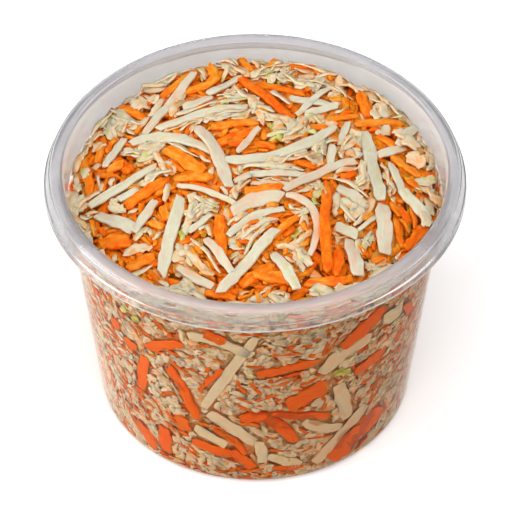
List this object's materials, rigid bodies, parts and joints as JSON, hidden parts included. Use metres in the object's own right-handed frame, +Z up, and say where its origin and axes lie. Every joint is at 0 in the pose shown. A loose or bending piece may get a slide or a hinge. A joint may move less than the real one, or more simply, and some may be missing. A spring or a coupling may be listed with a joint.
{
  "type": "cup of coleslaw mix",
  "caption": "Round clear deli cup with a flared skirted rim, heaped with dry coleslaw mix: pale cabbage shreds and orange carrot sticks.",
  "frame": {"origin": "centre of the circle that the cup stands on, at the height of its foot", "axes": "+Z up along the cup's axis; +Y away from the side that the picture shows, +X to its right"},
  "size_m": [0.117, 0.117, 0.0807],
  "materials": {
    "clear_plastic": "moulded, clear, faintly hazy",
    "shredded_salad": "moist cut cabbage and carrot"
  },
  "bodies": {
    "root": {"cup": "clear_plastic", "coleslaw": "shredded_salad"}
  },
  "joints": []
}
